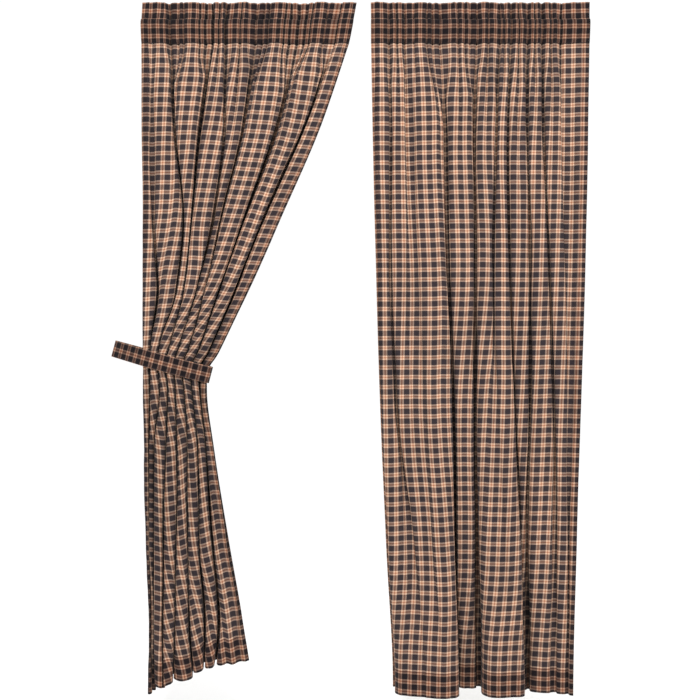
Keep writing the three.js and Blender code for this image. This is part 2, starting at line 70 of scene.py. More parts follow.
# Folds: the first row of each is x, where the fold runs at each drop below the rod line, and the
# second is y, how far it lies to the front, -1, or to the back, 1, as a share of the fold depth.
# The foremost fold lies at "front". The tucks are narrow valleys below the heading: "at" is the row
# of the fold table that each lies at, or how far it lies towards the next one, "depth" is how far it
# goes back at the heading, and "end" is the drop at which it has run out. Near a tilt's drop the
# levels slope down to the right, as the strip that gathers them does. The flare is how far the
# heading's right end leans out from its lower seam to its top.
RIGHT = {
    "seed": 47,
    "drops": [38, 300, 675, 1140, 1600, 2040],
    "front": [-9, -10, -13, -23, -41, -61],
    "tilt": {"slope": 0, "drop": 0, "spread": 1, "x": 0},
    "flare": 0,
    "tucks": {
        "at": [
            *[2, 3, 4, 4.75, 5.25, 5.75, 6, 7, 7.25, 7.75],
            *[8, 9, 10, 11, 12, 13, 14, 15, 16, 17, 18],
        ],
        "depth": [
            *[14, 12, 13, 11, 14, 12, 14, 12, 14, 11],
            *[16, 14, 14, 14, 16, 15, 17, 16, 17, 15, 17],
        ],
        "end": [
            *[300, 420, 300, 300, 620, 170, 300, 520, 330, 170],
            *[300, 560, 300, 280, 300, 600, 300, 380, 300, 480, 300],
        ],
    },
    "folds": {
        "left edge": ([20, 25, 34, 48, 68, 90], [0, 0.1, 0.1, 0.2, 0.5, 0.9]),
        "left ridge": ([48, 51, 57, 66, 100, 128], [-0.4, -0.4, -0.4, -0.5, -0.5, -0.6]),
        "slanting crease": ([76, 82, 80, 97, 150, 172], [0.3, 0.3, 0.35, 0.3, -0.2, -0.7]),
        "crease's far side": ([100, 107, 110, 128, 178, 205], [-0.4, -0.4, -0.4, -0.5, -0.6, -0.9]),
        "short valley": ([124, 131, 138, 159, 202, 227], [0.5, 0.4, 0.1, -0.3, -0.6, -0.95]),
        "left lobe": ([168, 193, 202, 224, 236, 252], [-0.6, -0.55, -0.8, -0.9, -1, -1]),
        "lapped valley": ([233, 252, 258, 277, 283, 292], [0.8, 0.85, 0.8, 1, 1, 0.95]),
        "sunk ridge": ([289, 298, 300, 307, 314, 320], [-0.5, -0.5, -0.5, -0.2, 0.1, 0.6]),
        "dark valley": ([348, 340, 345, 343, 349, 355], [0.6, 0.9, 0.8, 0.9, 1, 0.95]),
        "middle lobe, near": ([382, 375, 372, 379, 394, 409], [-0.6, -0.5, -0.7, -0.7, -0.8, -0.95]),
        "fading valley": ([419, 409, 399, 400, 419, 431], [0.3, 0.4, 0.4, -0.5, -0.8, -1]),
        "middle lobe, far": ([434, 426, 425, 431, 447, 456], [-0.3, -0.42, -0.5, -0.9, -1, -1]),
        "thin valley": ([453, 443, 448, 465, 485, 490], [0.3, 0.42, 0.6, 0.6, 0.5, 0.3]),
        "thin ridge": ([477, 474, 482, 490, 494, 499], [-0.4, -0.4, -0.4, -0.1, 0.3, 0.4]),
        "long valley": ([505, 504, 514, 513, 502, 508], [0.4, 0.5, 0.7, 0.7, 0.7, 0.55]),
        "right lobe, near": ([527, 530, 542, 548, 548, 552], [-0.45, -0.5, -0.5, -0.4, -0.3, -0.1]),
        "soft valley": ([550, 553, 570, 586, 592, 589], [0.35, 0.42, 0.5, 0.4, 0.2, 0.1]),
        "right lobe, far": ([576, 582, 595, 610, 613, 610], [-0.5, -0.45, -0.5, -0.4, -0.3, -0.2]),
        "short right valley": ([607, 613, 623, 629, 629, 626], [0.5, 0.45, 0.3, 0.1, 0, -0.1]),
        "right edge": ([694, 691, 684, 669, 652, 640], [-0.2, -0.2, -0.3, -0.3, -0.4, -0.4]),
    },
}

LEFT = {
    "seed": 11,
    "drops": [38, 304, 552, 799, 965, 1032, 1108, 1293, 1571, 1819, 2040],
    "front": [-9, -14, -17, -16, -13, -12.5, -15, -20, -25, -33, -41],
    "tilt": {"slope": math.tan(math.radians(14.9)), "drop": 1032, "spread": 130, "x": -590},
    "flare": 24,
    "tucks": {
        "at": [
            *[4, 4.25, 4.75, 5.25, 5.75, 6, 7, 8, 9],
            *[10, 10.25, 10.75, 11.25, 11.75, 12, 12.25, 12.75, 13.25],
        ],
        "depth": [
            *[18, 14, 16, 15, 17, 18, 16, 18, 18],
            *[18, 15, 17, 15, 17, 18, 15, 17, 15],
        ],
        "end": [
            *[300, 170, 420, 330, 170, 300, 240, 300, 480],
            *[300, 160, 430, 420, 170, 300, 160, 520, 330],
        ],
    },
    "folds": {
        "wall side edge": (
            [-689, -691, -688, -690, -691, -689, -689, -684, -677, -669, -666],
            [0, 0, 0, 0.1, 0.2, 0.3, 0.2, 0.1, 0.2, 0.2, 0.2],
        ),
        "edge ridge": (
            [-675, -675, -675, -672, -675, -677, -676, -677, -671, -664, -663],
            [-0.25, -0.25, -0.3, -0.4, -0.5, -0.55, -0.5, -0.4, -0.4, -0.3, -0.3],
        ),
        "edge valley": (
            [-661, -663, -660, -641, -661, -664, -664, -667, -664, -660, -658],
            [0.1, 0.15, 0.25, 0.5, 0.7, 0.75, 0.7, 0.5, 0.5, 0.5, 0.6],
        ),
        "second ridge": (
            [-632, -626, -616, -610, -646, -652, -647, -658, -658, -653, -652],
            [-0.3, -0.3, -0.4, -0.6, -0.8, -0.85, -0.8, -0.5, -0.5, -0.4, -0.2],
        ),
        "second valley": (
            [-601, -589, -558, -582, -631, -639, -633, -649, -650, -647, -644],
            [0.55, 0.65, 0.95, 0.7, 0.9, 0.95, 0.9, 0.8, 0.8, 0.8, 0.7],
        ),
        "third ridge": (
            [-533, -548, -547, -570, -616, -627, -620, -632, -635, -635, -630],
            [-0.4, -0.7, -0.55, -0.4, -0.9, -0.97, -0.9, -0.9, -0.9, -1, -0.9],
        ),
        "third valley": (
            [-468, -511, -536, -559, -601, -614, -607, -612, -620, -621, -616],
            [0.45, 1, 1, 0.8, 1, 1, 1, 1, 0.9, 0.1, -0.7],
        ),
        "fourth ridge": (
            [-450, -471, -499, -539, -586, -602, -595, -595, -599, -604, -604],
            [-0.5, -0.4, -0.6, -0.8, -1, -1, -1, -0.9, -0.9, -0.9, -0.95],
        ),
        "fourth valley": (
            [-431, -434, -465, -521, -572, -589, -584, -578, -579, -584, -593],
            [0.25, 0.4, 0.7, 0.9, 1, 1, 1, 0.9, 0.9, 0.9, 0.9],
        ),
        "fifth ridge": (
            [-385, -406, -453, -508, -557, -577, -572, -562, -562, -564, -558],
            [-0.4, -0.45, -0.1, -0.3, -0.9, -0.97, -0.9, -0.9, -0.9, -0.8, -0.6],
        ),
        "fifth valley": (
            [-338, -379, -440, -494, -542, -565, -558, -547, -545, -542, -525],
            [0.6, 0.65, 0.8, 0.9, 0.9, 0.95, 1, 1, 1, 0.9, 0.9],
        ),
        "sixth ridge": (
            [-277, -329, -403, -474, -527, -552, -545, -530, -528, -518, -510],
            [-0.5, -0.65, -0.9, -0.9, -0.9, -0.9, -0.8, -0.8, -0.8, -0.7, -0.4],
        ),
        "sixth valley": (
            [-209, -273, -363, -450, -512, -540, -533, -514, -511, -493, -496],
            [0.6, 0.75, 0.9, 0.9, 0.8, 0.8, 0.9, 0.8, 0.8, 0.8, 0.9],
        ),
        "seventh ridge": (
            [-150, -230, -332, -425, -498, -527, -522, -502, -490, -468, -482],
            [-0.5, -0.7, -0.8, -0.8, -0.7, -0.65, -0.7, -0.7, -0.7, -0.7, -0.3],
        ),
        "seventh valley": (
            [-94, -190, -304, -403, -482, -515, -511, -490, -471, -450, -468],
            [0.6, 0.7, 0.9, 0.8, 0.6, 0.5, 0.6, 0.5, 0.4, 0.4, 0.8],
        ),
        "leading ridge": (
            [-70, -165, -277, -382, -467, -502, -499, -477, -447, -413, -409],
            [-0.4, -0.4, -0.4, -0.4, -0.4, -0.4, -0.4, -0.6, -0.7, -0.8, -0.6],
        ),
        "leading edge": (
            [-48, -141, -249, -360, -453, -490, -488, -465, -419, -375, -345],
            [0.2, 0.1, 0, 0, 0, 0, -0.2, -0.2, -0.3, -0.4, -0.5],
        ),
    },
}

# How much of a fold's reach goes to its ridge at most, and the room its valley keeps
MOST_LEAN = 0.68
VALLEY_ROOM = 12.5

# Half the width of a tuck along the cloth, and how far its sides are drawn together
TUCK_WIDTH = 5.7
TUCK_PINCH = 3

# The deepest that folds can be, and how often the range of depths is halved to find the right one
DEEPEST = 160.0
HALVINGS = 22

# How far up and down the cloth gives to let its threads run straight, and how much further it gives
# near the heading: from the first of two drops, and fully at the second
GIVE = 30
GIVE_AT_HEADING = 110
GIVE_DROPS = (700, 300)

# The levels that the cloth is worked out at, and how finely it is meshed
LEVEL_STEP = 10
LOWEST = 2140
CURVE_STEPS = 24
PANEL_COLUMNS = 320
PANEL_ROWS = 145
HEADING_COLUMNS = 400
TIE_COLUMNS = 260
TIE_ROWS = 18

# The tieback: its strip, how far it stays clear of the cloth, where its ends meet and how far apart,
# the sides of the line it follows, how much taller than itself the cloth is that it clears, how far
# down the check its middle line lies, and how far from that line its edges are sewn
TIE = {
    "height": 52,
    "cloth": 2.4,
    "clear": 1,
    "reach": 202,
    "end_back": 62,
    "end_gap": 5,
    "sides": 120,
    "past": 20,
    "check": 5.85,
    "sewn": 22.5,
}

# The woven check in metres: dark cloth with tan bands both ways and a rust stripe down the middle of
# each. The starts say where on the flat cloth a repeat begins, across and up.
REPEAT = 0.0301
HALF_BAND = 0.0067
HALF_RUST = 0.0021
SOFT_EDGE = 0.0004
WARP_START = 0.0199
WEFT_START = 0.008

# The weave: its pitch in metres, how much of the colour comes from the threads across the cloth where
# they lie beneath and where they lie on top, how fast a thread's shade changes across it and along
# it, and between which shades
THREAD_PITCH = 0.0019
WEAVE_SHARES = (0.36, 0.64)
THREAD_GRAIN = (1500, 60)
THREAD_SHADES = (0.88, 1.1)

# Square roots of the thread colours, because the mix of two crossing threads is darker than their mean
DARK_THREAD = (0.15, 0.13, 0.138, 1)
TAN_THREAD = (0.7, 0.57, 0.478, 1)
RUST_THREAD = (0.5, 0.32, 0.235, 1)

# Doubled cloth lets no light through from behind, so its colour is painted deeper and darker there:
# painted shade for the light that single cloth lets through.
DOUBLED_SHADE = (0.82, 0.79, 0.82, 1)
DOUBLED_SHADE_DEPTH = 1.22

# The sewing thread, the length of a stitch and half its width at the core and at the edge, in metres
SEWING_THREAD = (0.03, 0.025, 0.028, 1)
STITCH = 0.0032
STITCH_CORE = 0.0003
STITCH_EDGE = 0.0006

LINING_PALE = (0.86, 0.82, 0.73, 1)
LINING_DEEP = (0.70, 0.66, 0.57, 1)
LINING_SEAM = (0.35, 0.32, 0.26, 1)
SEAM_ABOVE_HEM = 12
HEM_TURN = 30

# Painted shade in the folds: how dark the colour is painted deep in a fold, the share of the room in
# front of it that is open where it is painted darkest and where it is left bright, and how much of that
# room is taken away for crowded folds and the pocket, so that they are painted darker. The tieback's
# bright end lies past full room, so all of it is painted a little darker. Folds are crowded from the
# first share of its flat width that the cloth hangs in, wholly at the next.
FOLD_SHADE = 0.16
PANEL_SHADE = (0.12, 0.78)
HEADING_SHADE = (0.25, 0.97)
TIE_SHADE = (0.12, 1.3)
LINING_FOLD_SHADE = 0.45
LINING_SHADE = (0.05, 0.8)
CROWD_PAINTED_SHADE = 0.44
CROWDED = (0.42, 0.2)
POCKET_PAINTED_SHADE = 0.28

# Folds that are up to an eighth of the cloth's width away hide a point's room, and each counts as
# lying a little further off than it does, in mm
OPEN_SHARE = 8
OPEN_NEAR = 1.5

# The heading's sewn lines: up its front, over the top and down its back
HEADING_SEWN = (3, 88, 192, 277)


def track(drops, values, at):
    """A curve through one row of a table that never passes the row's own values."""
    drops, values = np.array(drops, float), np.array(values, float)
    step = np.diff(drops)
    slope = np.diff(values) / step
    slopes = np.zeros(len(values))
    before, after = slope[:-1], slope[1:]
    same = before * after > 0
    slopes[1:-1][same] = 2 * before[same] * after[same] / (before[same] + after[same])
    slopes[0] = slope[0]
    d = np.clip(at, drops[0], drops[-1])
    i = np.clip(np.searchsorted(drops, d) - 1, 0, len(step) - 1)
    t = (d - drops[i]) / step[i]
    rise = t * t * (3 - 2 * t)
    start = t * (1 - t) ** 2 * step[i] * slopes[i]
    end = t * t * (t - 1) * step[i] * slopes[i + 1]
    return values[i] + (values[i + 1] - values[i]) * rise + start + end


def smooth(low, high, x):
    t = np.clip((x - low) / (high - low), 0, 1)
    return t * t * (3 - 2 * t)


def add_tucks(panel, points, length, drops):
    """Folds the small tucks into each level as narrow valleys."""
    steps = np.arange(points.shape[1])
    for at, depth, end in zip(*(panel["tucks"][column] for column in ("at", "depth", "end"))):
        middle = [np.interp(at * CURVE_STEPS, steps, one) for one in length]
        away = (length - np.array(middle)[:, None]) / TUCK_WIDTH
        near = np.exp(-(away**2)) * (1 - smooth(POCKET / 2, end, drops))[:, None]
        points[..., 0] -= TUCK_PINCH * away * near
        points[..., 1] += depth * near


def running_length(points, axis):
    """How far each point lies along its line."""
    steps = np.linalg.norm(np.diff(points, axis=axis), axis=-1)
    total = np.cumsum(steps, axis=axis)
    return np.concatenate([np.zeros_like(np.take(total, [0], axis)), total], axis)


def fold_curves(panel, drops, depths):
    """The cloth's middle line at each drop, for each fold depth: levels, points, then x, y and z."""
    rows = panel["folds"].values()
    x = np.stack([track(panel["drops"], row[0], drops) for row in rows], 1)
    y = np.stack([track(panel["drops"], row[1], drops) for row in rows], 1) * depths[:, None]
    across, deep = np.diff(x), np.diff(y)
    # How far a curve runs on from a fold before it turns: further where the cloth is steep, but not
    # past the folds on either side, and more of it at the ridge where a valley is narrow
    before = np.concatenate([x[:, :1], x[:, :-2]], 1)
    after = np.concatenate([x[:, 2:], x[:, -1:]], 1)
    steep = smooth(0.15, 0.9, np.abs(deep) / across)
    reach = np.minimum(np.hypot((2.2 + steep) * across, 1.2 * deep), 1.9 * (after - before))
    narrow = np.clip(0.8 * (2 * across - VALLEY_ROOM) / reach, 0, MOST_LEAN * steep) * np.sign(deep)
    slope = deep / across
    pair = slope[:, :-1] * slope[:, 1:]
    total = slope[:, :-1] + slope[:, 1:]
    slant = np.zeros_like(x)
    slant[:, 1:-1] = np.where(pair > 0, 2 * pair / np.where(pair > 0, total, 1), 0)
    t = np.arange(CURVE_STEPS) / CURVE_STEPS
    rise = t * t * (3 - 2 * t)
    leave = (reach * (1 + narrow) / np.hypot(1, slant[:, :-1]))[..., None] * t * (1 - t) ** 2
    arrive = (reach * (1 - narrow) / np.hypot(1, slant[:, 1:]))[..., None] * t * t * (1 - t)
    curve_x = x[:, :-1, None] + across[..., None] * rise + leave - arrive
    curve_y = y[:, :-1, None] + deep[..., None] * rise
    curve_y += slant[:, :-1, None] * leave - slant[:, 1:, None] * arrive
    count = len(drops)
    points = np.zeros((count, curve_x[0].size + 1, 3))
    points[..., 0] = np.concatenate([curve_x.reshape(count, -1), x[:, -1:]], 1)
    points[..., 1] = np.concatenate([curve_y.reshape(count, -1), y[:, -1:]], 1)
    length = running_length(points, 1)
    tilt = panel["tilt"]
    slope = tilt["slope"] * np.exp(-(((drops - tilt["drop"]) / tilt["spread"]) ** 2))
    front = track(panel["drops"], panel["front"], drops)
    points[..., 1] += (front - points[..., 1].min(1))[:, None]
    add_tucks(panel, points, length, drops)
    points[..., 2] = -drops[:, None] - slope[:, None] * (points[..., 0] - tilt["x"])
    return points


def cloth_across(points, below):
    """Width of cloth along each level, measured square to the threads that run down through it."""
    step = np.diff(points, axis=1)
    thread = below[:, 1:] + below[:, :-1] - points[:, 1:] - points[:, :-1]
    thread /= np.linalg.norm(thread, axis=-1, keepdims=True)
    wide = np.cumsum(np.linalg.norm(np.cross(step, thread), axis=-1), axis=1)
    return np.concatenate([np.zeros((len(points), 1)), wide], 1)


def levels_of(panel):
    """Levels of the hung cloth: each fold depth is the one that uses up the cloth's whole width."""
    drops = np.arange(POCKET / 2, LOWEST + 1, LEVEL_STEP)
    shallow, deep = np.zeros(len(drops)), np.full(len(drops), DEEPEST)
    for _ in range(HALVINGS):
        depth = (shallow + deep) / 2
        points = fold_curves(panel, drops, depth)
        across = cloth_across(points, fold_curves(panel, drops + LEVEL_STEP / 2, depth))
        wide = across[:, -1] >= WIDTH
        deep, shallow = np.where(wide, depth, deep), np.where(wide, shallow, depth)
    return points, evened(across * (WIDTH / across[:, -1:]), drops)


def evened(across, drops):
    """The cloth gives a little sideways, so its threads run almost straight down from the heading."""
    give = GIVE + GIVE_AT_HEADING * smooth(*GIVE_DROPS, drops)
    share = np.exp(-(((drops[:, None] - drops[None, :]) / give[:, None]) ** 2))
    return (share / share.sum(1, keepdims=True)) @ across


def along_levels(points, across, u):
    """Where the threads that lie u across the cloth pass each level."""
    return np.stack(
        [np.stack([np.interp(u, a, p[:, k]) for k in range(3)], 1) for p, a in zip(points, across)]
    )


def ripples(u, v, seed, waves, long, short):
    """Soft seeded unevenness from -1 to 1: waves of lengths between long and short, in mm."""
    random = np.random.RandomState(seed)
    total = np.zeros(np.broadcast(u, v).shape)
    for _ in range(waves):
        turn = random.uniform(0, 2 * math.pi)
        size = 2 * math.pi / random.uniform(short, long)
        start = random.uniform(0, 2 * math.pi)
        total += np.sin(size * (u * math.cos(turn) + v * math.sin(turn)) + start)
    return total / math.sqrt(2 * waves)


def normals_of(grid):
    """Unit normals of a grid of points, facing the viewer where columns run right and rows run up."""
    up, right = np.gradient(grid, axis=0), np.gradient(grid, axis=1)
    normal = np.cross(right, up)
    return normal / np.linalg.norm(normal, axis=-1, keepdims=True)


def openness(grid):
    """How much of the room in front of and behind each point the folds beside it leave open."""
    count = grid.shape[1]
    steps = np.arange(1, count // OPEN_SHARE)
    sides = []
    for facing in (1, -1):
        seen = np.zeros(grid.shape[:2])
        for way in (1, -1):
            highest = np.zeros(grid.shape[:2])
            for step in steps:
                other = np.clip(np.arange(count) + way * step, 0, count - 1)
                rise = facing * (grid[..., 1] - grid[:, other, 1])
                run = np.abs(grid[..., 0] - grid[:, other, 0]) + OPEN_NEAR
                highest = np.maximum(highest, np.arctan2(rise, run))
            seen += np.cos(highest) / 2
        sides.append(seen)
    return np.stack(sides, -1)


def panel_grid(panel, levels):
    """Points and flat places of a panel, rows from the hem up to the seam, and the painted shade for
    its crowded folds.
    """
    u = np.linspace(0, WIDTH, PANEL_COLUMNS + 1)
    v = np.linspace(SKIRT, 0, PANEL_ROWS + 1)
    threads = along_levels(*levels, u)
    along = running_length(threads, 0)
    grid = np.zeros((len(v), len(u), 3))
    for c in range(len(u)):
        for k in range(3):
            grid[:, c, k] = np.interp(v, along[:, c], threads[:, c, k])
    flat_u, flat_v = np.meshgrid(u, v)
    normal = normals_of(grid)
    seed, tilt = panel["seed"], panel["tilt"]
    # The cloth is held still by the heading, and where the tieback gathers it
    free = smooth(10, 120, flat_v)
    if tilt["slope"]:
        free *= 1 - 0.85 * np.exp(-(((grid[..., 2] + tilt["drop"]) / 90) ** 2))
    # Unevenness in mm: soft over the whole cloth, then fine, then where the hem and heading are sewn
    soft = 1.5 * ripples(flat_u, flat_v * 0.35, seed, 9, 260, 90)
    fine = 0.5 * ripples(flat_u, flat_v * 0.5, seed + 1, 12, 70, 28)
    hem_line = np.exp(-(((flat_v - (SKIRT - BOTTOM_HEM)) / 9) ** 2))
    pucker = 0.5 * hem_line * ripples(flat_u, 0, seed + 2, 8, 26, 12)
    gather = 0.8 * np.exp(-flat_v / 26) * ripples(flat_u, 0, seed + 3, 10, 22, 12)
    grid += normal * (free * (soft + fine) + pucker + gather)[..., None]
    # Painted shade: rows whose folds are crowded together are painted darker.
    crowded = smooth(*CROWDED, np.ptp(grid[..., 0], axis=1) / WIDTH)
    return grid, np.stack([flat_u, flat_v], -1), CROWD_PAINTED_SHADE * crowded


def make_sheet(name, grid, flat, thickness, materials, thick_rows=0, painted_shade=0):
    """A sheet of cloth through a grid of points, with its flat cloth as UV, in metres.

    The first material is the front's and the last the back's. The lowest thick_rows are the hem, and
    the last argument is painted shade: it takes away from how open the folds count as, row by row, so
    that the materials paint them darker.
    """
    rows, columns = grid.shape[:2]
    bm = bmesh.new()
    bm.loops.layers.uv.new("UVMap")
    bmesh.ops.create_grid(bm, x_segments=columns - 1, y_segments=rows - 1, size=1)
    mesh = bpy.data.meshes.new(name)
    bm.to_mesh(mesh)
    bm.free()
    mesh.vertices.foreach_set("co", (grid * MM).astype(np.float32).ravel())
    corners = np.zeros(len(mesh.loops), np.int32)
    mesh.loops.foreach_get("vertex_index", corners)
    uv = flat.reshape(-1, 2)[corners]
    uv[:, 1] *= -1
    mesh.uv_layers["UVMap"].data.foreach_set("uv", (uv * MM).astype(np.float32).ravel())
    mesh.polygons.foreach_set("use_smooth", np.ones(len(mesh.polygons), bool))
    # The room attribute: how open the folds are in front and behind, less the painted shade; the
    # materials darken the colour by it as painted shade.
    room = np.ones((rows * columns, 4))
    room[:, :2] = (openness(grid) - np.reshape(painted_shade, (-1, 1, 1))).reshape(-1, 2)
    mesh.color_attributes.new("room", "FLOAT_COLOR", "POINT").data.foreach_set("color", room.ravel())
    for material in materials:
        mesh.materials.append(material)
    mesh.update()
    piece = bpy.data.objects.new(name, mesh)
    bpy.context.scene.collection.objects.link(piece)
    solid = piece.modifiers.new("thickness", "SOLIDIFY")
    solid.thickness = max(thickness) * MM
    solid.offset = 0
    solid.use_quality_normals = True
    solid.material_offset = len(materials) - 1
    if thick_rows:
        group = piece.vertex_groups.new(name="hem")
        group.add(list(range(thick_rows * columns)), 1.0, "REPLACE")
        solid.vertex_group = group.name
        solid.thickness_vertex_group = min(thickness) / max(thickness)
    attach(piece, "root")
    return piece


def heading_grid(panel, levels):
    """The heading's strip, from the back seam up over the frill's top and down to the front seam."""
    points, across = levels
    seed = panel["seed"] + 100
    u = np.linspace(0, WIDTH, HEADING_COLUMNS + 1)
    base = along_levels(points[:1], across[:1], u)[0]
    half = POCKET / 2
    side = PLY / 2
    low = np.concatenate([np.linspace(-half, 28, 20)[:-1], np.linspace(28, half, 9)])
    frill = np.linspace(half, half + FRILL, 13)[1:]
    turn = np.linspace(0, math.pi, 5)[1:-1]
    height = np.concatenate([low, frill])
    out = np.interp(height, POCKET_SIDE["height"], POCKET_SIDE["out"])
    out[1:-1] = (out[:-2] + 2 * out[1:-1] + out[2:]) / 4 * (np.abs(height[1:-1]) < half - 0.1)
    z = np.concatenate([height, half + FRILL + side * np.sin(turn), height[::-1]])
    y = np.concatenate([-side - out, -side * np.cos(turn), side + out[::-1]])
    used = np.concatenate([[0], np.cumsum(np.hypot(np.diff(z), np.diff(y)))])
    z, y, used = z[::-1], y[::-1], used[::-1]
    # The gathers are deep where the pocket is sewn, shallow round the rod's way and loose in the frill
    sewn = np.exp(-(((np.abs(z) - half) / 9) ** 2))[:, None]
    high = np.clip((z - half) / FRILL, 0, 1)[:, None]
    pocket = smooth(0, 12, np.abs(y))[:, None]
    depth = 1 - 0.62 * pocket - 0.45 * smooth(0, 0.7, high)
    middle = base[:, 1].mean()
    small = 1.5 * ripples(u, 0, seed + 3, 14, 34, 15) * (0.35 + 0.65 * smooth(0, 0.5, high + pocket))
    sway = high * 3.4 * ripples(u, 0, seed + 1, 9, 90, 30)
    pinch = sewn * 2.8 * ripples(u, 0, seed + 4, 12, 26, 11)
    lean = high * 4.5 * ripples(u, 0, seed, 9, 120, 40)
    edge = high * (1.3 * ripples(u, 0, seed + 2, 7, 170, 60) + 0.7 * ripples(u, 0, seed + 5, 9, 40, 16))
    reach = panel["flare"] * ((base[:, 0] - base[0, 0]) / np.ptp(base[:, 0])) ** 2
    grid = np.zeros((len(z), len(u), 3))
    grid[..., 0] = base[:, 0] + lean + reach * (z[:, None] + half) / (POCKET + FRILL)
    grid[..., 1] = middle + (base[:, 1] - middle) * depth + small + sway + pinch + y[:, None]
    grid[..., 2] = z[:, None] + edge
    flat_u, flat_v = np.meshgrid(u, -used)
    # The last value is painted shade that darkens the pocket.
    return grid, np.stack([flat_u, flat_v], -1), POCKET_PAINTED_SHADE * pocket


def taut_line(points, away, sides):
    """The taut line round a set of points, pushed out by a distance."""
    angles = -math.pi + 2 * math.pi * (np.arange(sides) + 0.5) / sides
    direction = np.stack([np.cos(angles), np.sin(angles)])
    reach = away + (points @ direction).max(0)
    turn = math.sin(2 * math.pi / sides)
    a, b, here, after = angles[:-1], angles[1:], reach[:-1], reach[1:]
    line = [here * np.sin(b) - after * np.sin(a), after * np.cos(a) - here * np.cos(b)]
    return np.stack(line, 1) / turn


def tieback_grid(levels):
    """The strip along the taut line round the gathered cloth and the place where its ends meet."""
    angle = math.atan(LEFT["tilt"]["slope"])
    across = np.array([math.cos(angle), 0, -math.sin(angle)])
    up = np.array([math.sin(angle), 0, math.cos(angle)])
    centre = np.array([LEFT["tilt"]["x"], 0, -LEFT["tilt"]["drop"]])
    cloth = levels[0].reshape(-1, 3) - centre
    cloth = cloth[np.abs(cloth @ up) < (TIE["height"] + TIE["past"]) / 2]
    ends = [[-TIE["reach"], TIE["end_back"] + side * TIE["end_gap"] / 2] for side in (-1, 1)]
    bundle = np.concatenate([np.stack([cloth @ across, cloth[:, 1]], 1), ends])
    line = taut_line(bundle, CLOTH / 2 + TIE["clear"] + TIE["cloth"] / 2, TIE["sides"])
    length = running_length(line, 0)
    u = np.linspace(0, length[-1], TIE_COLUMNS + 1)
    x, y = np.interp(u, length, line[:, 0]), np.interp(u, length, line[:, 1])
    high = np.linspace(-1, 1, TIE_ROWS + 1)
    grid = centre + x[None, :, None] * across + high[:, None, None] * up * TIE["height"] / 2
    grid[..., 1] += y
    flat_u, flat_v = np.meshgrid(u, TIE["check"] - high * TIE["height"] / 2)
    return grid, np.stack([flat_u, flat_v], -1), length[-1]


class Graph:
    """Short ways to make and join shader nodes."""

    def __init__(self, tree):
        self.tree = tree

    def node(self, kind, **settings):
        made = self.tree.nodes.new(kind)
        for name, value in settings.items():
            setattr(made, name, value)
        return made

    def give(self, socket, value):
        if isinstance(value, bpy.types.NodeSocket):
            self.tree.links.new(value, socket)
        else:
            socket.default_value = value

    def math(self, operation, *values):
        made = self.node("ShaderNodeMath", operation=operation)
        for socket, value in zip(made.inputs, values):
            self.give(socket, value)
        return made.outputs[0]

    def ramp(self, value, low, high, start=0.0, end=1.0):
        made = self.node("ShaderNodeMapRange", interpolation_type="SMOOTHSTEP")
        for socket, given in zip(made.inputs, (value, low, high, start, end)):
            self.give(socket, given)
        return made.outputs[0]

    def mix(self, share, a, b, blend="MIX"):
        made = self.node("ShaderNodeMix", data_type="RGBA", blend_type=blend)
        self.give(made.inputs[0], share)
        self.give(made.inputs[6], a)
        self.give(made.inputs[7], b)
        return made.outputs[2]

    def noise(self, vector, detail, rough=0.5):
        made = self.node("ShaderNodeTexNoise")
        self.give(made.inputs["Vector"], vector)
        made.inputs["Scale"].default_value = 1.0
        made.inputs["Detail"].default_value = detail
        made.inputs["Roughness"].default_value = rough
        return made.outputs["Fac"]

    def scaled(self, vector, x, y):
        made = self.node("ShaderNodeVectorMath", operation="MULTIPLY")
        self.give(made.inputs[0], vector)
        made.inputs[1].default_value = (x, y, 1)
        return made.outputs[0]

    def away(self, value, middle):
        """How far a value is from a middle one."""
        return self.math("ABSOLUTE", self.math("SUBTRACT", value, middle))

    def bump(self, height, strength, distance):
        made = self.node("ShaderNodeBump")
        made.inputs["Strength"].default_value = strength
        made.inputs["Distance"].default_value = distance
        self.give(made.inputs["Height"], height)
        return made

    def flat_cloth(self):
        """The place on the flat cloth, and how far across and down it lies, in metres."""
        place = self.node("ShaderNodeUVMap", uv_map="UVMap").outputs[0]
        parts = self.node("ShaderNodeSeparateXYZ")
        self.give(parts.inputs[0], place)
        return place, parts.outputs[0], self.math("MULTIPLY", parts.outputs[1], -1.0)

    def check(self, place):
        """Colour and weave of the check at a place on the flat cloth."""
        made = self.node("ShaderNodeGroup", node_tree=CHECK)
        self.give(made.inputs["Place"], place)
        return made.outputs["Colour"], made.outputs["Height"]

    def room(self):
        """How open the folds are in front of the cloth and behind it, less painted shade, for the
        materials to paint shade by.
        """
        stored = self.node("ShaderNodeVertexColor", layer_name="room")
        parts = self.node("ShaderNodeSeparateColor")
        self.give(parts.inputs[0], stored.outputs["Color"])
        return parts.outputs[0], parts.outputs[1]


def new_group(name, outputs, inputs=()):
    tree = bpy.data.node_groups.new(name, "ShaderNodeTree")
    for label, kind in inputs:
        tree.interface.new_socket(label, in_out="INPUT", socket_type=kind)
    for label, kind in outputs:
        tree.interface.new_socket(label, in_out="OUTPUT", socket_type=kind)
    graph = Graph(tree)
    return graph, graph.node("NodeGroupInput"), graph.node("NodeGroupOutput")


